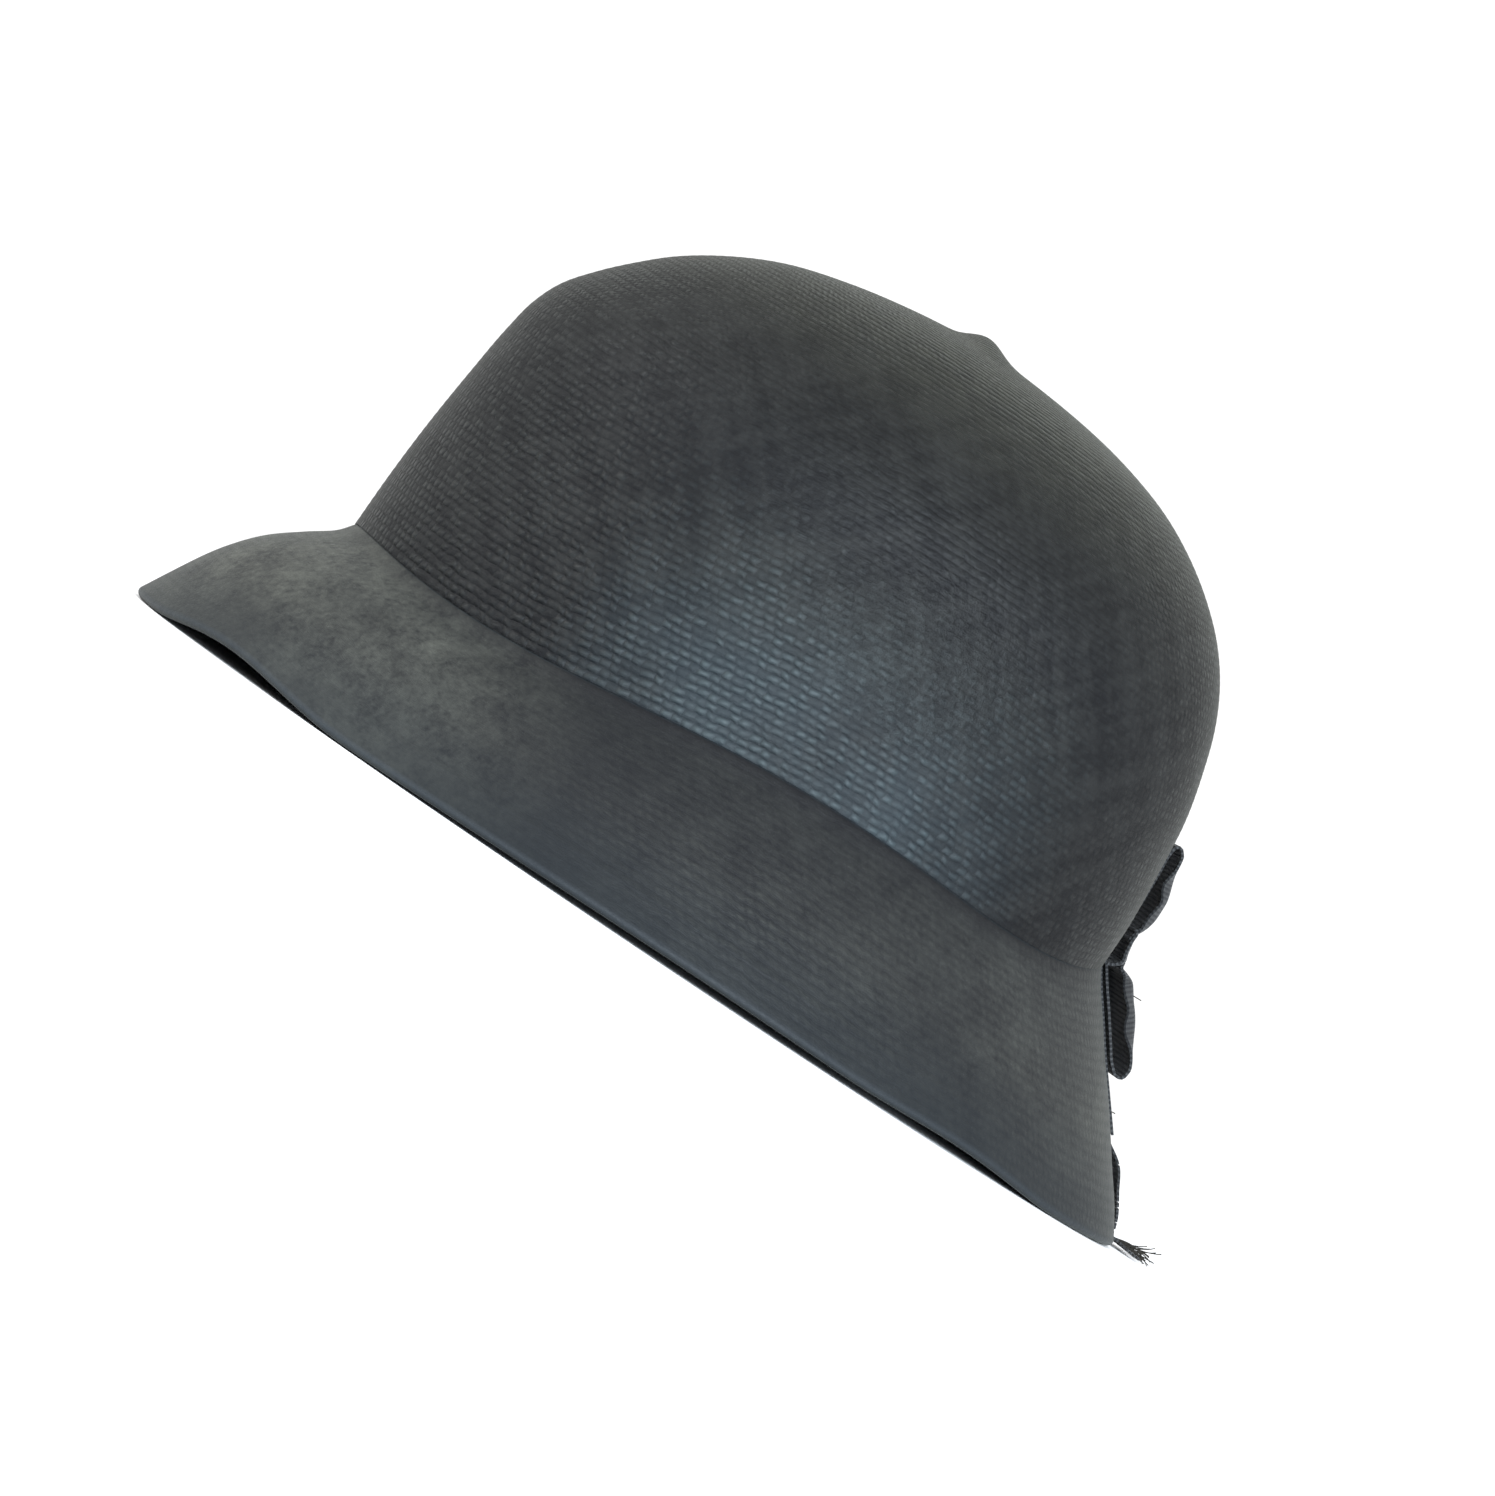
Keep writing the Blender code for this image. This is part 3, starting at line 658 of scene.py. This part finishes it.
UPPER_LENGTH = 0.0221
UPPER_RISE = 0.0060
UPPER_DROOP = 0.0028
upper_route = loop_route(KNOT_HIGH - 0.0010, UPPER_LENGTH, UPPER_RISE, FIRST_LAYER, 0)
upper, upper_length = ribbon("bow_upper_loop", upper_route, 32, 60, gathers(0.0002, 3, UPPER_DROOP))
finished_ribbon(upper, "bow_loop_upper")

LOWER_LENGTH = 0.0268
LOWER_RISE = 0.0067
LOWER_DROOP = 0.0032
lower_route = loop_route(0.0, -LOWER_LENGTH, LOWER_RISE, FIRST_LAYER + LAYER_STEP, 1)
lower, lower_length = ribbon("bow_lower_loop", lower_route, 32, 72, gathers(0.0002, 3, LOWER_DROOP))
finished_ribbon(lower, "bow_loop_lower")


def tail_route(table, first, length, bulge):
    return [(first - length * along, FIRST_LAYER + lift * bulge, left * RIBBON_WIDTH, right * RIBBON_WIDTH)
            for along, lift, left, right in table]


TAIL_BULGE = 0.0033
SHORT_LENGTH = 0.0370
SHORT_SLANT = 0.0044
short_table = (
    (0.00, 0.00, 0.36, 0.02), (0.30, 0.00, 0.42, 0.02), (0.60, 0.00, 0.48, 0.03), (0.82, 0.03, 0.52, 0.05),
    (1.00, 0.10, 0.55, 0.08),
)
short_route = tail_route(short_table, 0.0, SHORT_LENGTH, TAIL_BULGE)
short, short_length = ribbon("bow_short_tail", short_route, 8, 40, slant=SHORT_SLANT)
finished_ribbon(short, "bow_tail_short")

PAST_EDGE = 0.0110
TAIL_STEPS = 240
TAIL_STRIPS = 18
long_table = (
    (0.00, 0.00, -0.02, -0.36), (0.20, 0.00, -0.02, -0.42), (0.40, 0.00, -0.02, -0.46), (0.56, 0.06, -0.01, -0.49),
    (0.66, 0.64, 0.08, -0.50), (0.74, 1.00, 0.22, -0.50), (0.82, 0.66, 0.36, -0.50), (0.91, 0.56, 0.45, -0.50),
)
end_table = ((0.40, 0.20, 0.48, -0.48), (0.70, 0.02, 0.45, -0.46), (1.00, 0.00, 0.38, -0.42))
long_route = tail_route(long_table, 0.0, BACK_SLOPE, TAIL_BULGE)
long_route += tail_route(end_table, -BACK_SLOPE, PAST_EDGE, TAIL_BULGE)
long_tail, long_length = ribbon("bow_long_tail", long_route, TAIL_STRIPS, TAIL_STEPS)

# Its lower part is worn through: the cords have parted in slits, more and wider towards the end
SLITS_START = 0.62
SLITS_WIDEN = 0.80
chance = np.random.default_rng(7)
torn = chance.random((TAIL_STEPS // 4 + 1, TAIL_STRIPS // 3 + 1))
alone(long_tail)
bpy.ops.object.mode_set(mode="EDIT")
bpy.ops.mesh.select_mode(type="FACE")
bpy.ops.mesh.select_all(action="DESELECT")
bpy.ops.object.mode_set(mode="OBJECT")
for number, face in enumerate(long_tail.data.polygons):
    step, strip = divmod(number, TAIL_STRIPS)
    share = step / TAIL_STEPS
    slit = step % 4 == 3 or step % 4 == 2 and share > SLITS_WIDEN
    wear = 0.30 + 0.45 * (share - SLITS_START) / (1 - SLITS_START)
    face.select = bool(slit and share > SLITS_START and torn[step // 4, strip // 3] < wear)
bpy.ops.object.mode_set(mode="EDIT")
bpy.ops.mesh.delete(type="FACE")
bpy.ops.object.mode_set(mode="OBJECT")

# Loose threads lie out from the torn end, some of them twisted in a wisp
frayed = Finish("frayed_thread", {"Roughness": 0.9, "Specular IOR Level": 0.2})
frayed.wear(Base_Color=frayed.mixed(frayed.cloudy(300.0), (0.006, 0.006, 0.006), (0.030, 0.026, 0.020)))


def thread(points, thickness):
    """One loose thread through five points, made a mesh."""
    bpy.ops.object.select_all(action="DESELECT")
    bpy.ops.curve.primitive_nurbs_path_add()
    strand = bpy.context.object
    for bend, point in zip(strand.data.splines[0].points, points):
        bend.co = (*point, 1)
    strand.data.bevel_depth = thickness
    strand.data.bevel_resolution = 0
    strand.data.resolution_u = 4
    strand.data.use_fill_caps = True
    bpy.ops.object.convert(target="MESH")
    return bpy.context.object


END_THREADS = 34
WISP_THREADS = 16
THREAD_LOW = 0.0004
threads = []
tail_end = HEAD_MIDDLE + CROWN_HALF_LENGTH + BACK_FLARE + PAST_EDGE
out = np.linspace(0, 1, 5)[:, None]
for number in range(END_THREADS):
    side = chance.uniform(-0.018, 0.006)
    reach = chance.uniform(0.001, 0.004) + (0.004 if side < -0.010 else 0)
    wild = chance.normal(0, 0.0007, (5, 3))
    wild[0] = 0
    start = np.array((side, tail_end - side**2 / (2 * RIM_BEND) - 0.0012, 0.0009))
    line = start + out * (chance.normal(0, 0.0012), reach, 0.0) + wild * out * 1.5
    line[:, 2] = np.clip(line[:, 2], THREAD_LOW, 0.0032)
    threads.append(thread(line, 0.00011))
wisp_root = np.array((-0.0150, tail_end - 0.0030, 0.0010))
wisp_spread = np.array((0, 0.0003, 0.0005, 0.0007, 0.0017))[:, None]
for number in range(WISP_THREADS):
    line = wisp_root + out * (0.001, 0.0098, 0.0012) + chance.normal(0, 1, (5, 3)) * wisp_spread
    line[:, 2] = np.clip(line[:, 2], THREAD_LOW, 0.0045)
    threads.append(thread(line, 0.00013))

# Single threads stand off the lower loop and the tail: along, aside, height, reach
whiskers = (
    (-0.0085, 0.0030, 0.0080, 0.0024), (-0.0340, 0.0075, 0.0012, 0.0012), (-0.0475, -0.0060, 0.0030, 0.0012))
for along, aside, height, reach in whiskers:
    root, tip = laid(
        np.array((along, along - 0.0008)), np.array((aside, aside + 0.001)), np.array((height, height + 0.0012)))
    line = root + (tip - root) * out * reach / 0.0015 + chance.normal(0, 0.00012, (5, 3))
    threads.append(thread(line, 0.00012))
bpy.ops.object.select_all(action="DESELECT")
for piece in threads:
    piece.select_set(True)
bpy.context.view_layer.objects.active = threads[0]
bpy.ops.object.join()
fringe = bpy.context.object
fringe.name = "bow_loose_threads"
fringe.data.materials.append(frayed.material)
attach(fringe, "root")
finished_ribbon(
    long_tail, "bow_tail_long")

# The wrap over the bow's pinched middle, higher at its lower edge
wrap_route = (
    (0.0012, 0.0005, 0.0112, -0.0112), (0.0004, 0.0018, 0.0117, -0.0117), (0.0004, 0.0042, 0.0120, -0.0120),
    (0.0018, 0.0058, 0.0120, -0.0120), (0.0050, 0.0054, 0.0118, -0.0118), (0.0080, 0.0047, 0.0116, -0.0116),
    (0.0102, 0.0042, 0.0115, -0.0115), (0.0107, 0.0036, 0.0114, -0.0114), (0.0102, 0.0032, 0.0112, -0.0112),
)


def wrap_folds(share, way):
    pleats = 0.00026 * np.sin(share * 7 * math.pi + 2 * way) * np.sin(way * math.pi)
    return pleats - 0.0016 * np.abs(2 * share - 1) ** 5 * np.sin(way * math.pi)


knot_wrap, wrap_length = ribbon("bow_knot_wrap", wrap_route, 22, 40, wrap_folds)
finished_ribbon(knot_wrap, "bow_knot")


# Studio
# A pale floor in an even white room, a wide cool lamp at the hat's left and a small one in front, and the camera at
# the photograph's angle, tilted as the photograph is.
floor_paint = Finish("floor_paint", {"Base Color": (0.92, 0.92, 0.92, 1), "Roughness": 0.9})
bpy.ops.object.select_all(action="DESELECT")
bpy.ops.mesh.primitive_plane_add(size=8, location=(0, 0, -0.0002))
floor = bpy.context.object
floor.name = "floor"
floor.data.materials.append(floor_paint.material)

bpy.context.scene.world = bpy.data.worlds.new("white_room")
bpy.context.scene.world.use_nodes = True
room = bpy.context.scene.world.node_tree.nodes["Background"]
room.inputs["Color"].default_value = (1, 1, 1, 1)
room.inputs["Strength"].default_value = 1.1
bpy.context.scene.view_settings.view_transform = "Standard"


def lamp(name, place, target, size, power, colour=(1.0, 1.0, 1.0)):
    bpy.ops.object.light_add(type="AREA", location=place)
    placed = bpy.context.object
    placed.name = name
    placed.data.shape = "RECTANGLE"
    placed.data.size, placed.data.size_y = size
    placed.data.energy = power
    placed.data.color = colour
    placed.rotation_euler = (Vector(target) - Vector(place)).to_track_quat("-Z", "Y").to_euler()


lamp("window_lamp", (1.38, 0.20, 0.22), (0, 0, 0.07), (1.2, 0.6), 64, (0.8, 0.9, 1.0))
lamp("front_lamp", (0.10, -1.45, 0.75), (0, 0, 0.06), (0.7, 0.7), 20)

VIEW_TURN = math.radians(12.2)
VIEW_RISE = math.radians(-0.2)
VIEW_ROLL = math.radians(34.0)
VIEW_DISTANCE = 1.5
SENSOR_WIDTH = 36
FRAME_WIDTH = 0.33939  # what the frame takes in, side to side, at that distance
VIEW_MIDDLE = Vector((0, -0.0046, 0.048))
towards = Vector((
    math.cos(VIEW_RISE) * math.cos(VIEW_TURN),
    -math.cos(VIEW_RISE) * math.sin(VIEW_TURN),
    math.sin(VIEW_RISE),
))
level = Vector((math.sin(VIEW_TURN), math.cos(VIEW_TURN), 0))
upright = towards.cross(level)
right = level * math.cos(VIEW_ROLL) + upright * math.sin(VIEW_ROLL)
top = upright * math.cos(VIEW_ROLL) - level * math.sin(VIEW_ROLL)
bpy.ops.object.camera_add()
camera = bpy.context.object
camera.name = "camera"
stand = Matrix((right, top, towards)).transposed().to_4x4()
stand.translation = VIEW_MIDDLE + towards * VIEW_DISTANCE
camera.matrix_world = stand
camera.data.sensor_width = SENSOR_WIDTH
camera.data.lens = SENSOR_WIDTH * VIEW_DISTANCE / FRAME_WIDTH
camera.data.clip_end = 20
bpy.context.scene.camera = camera
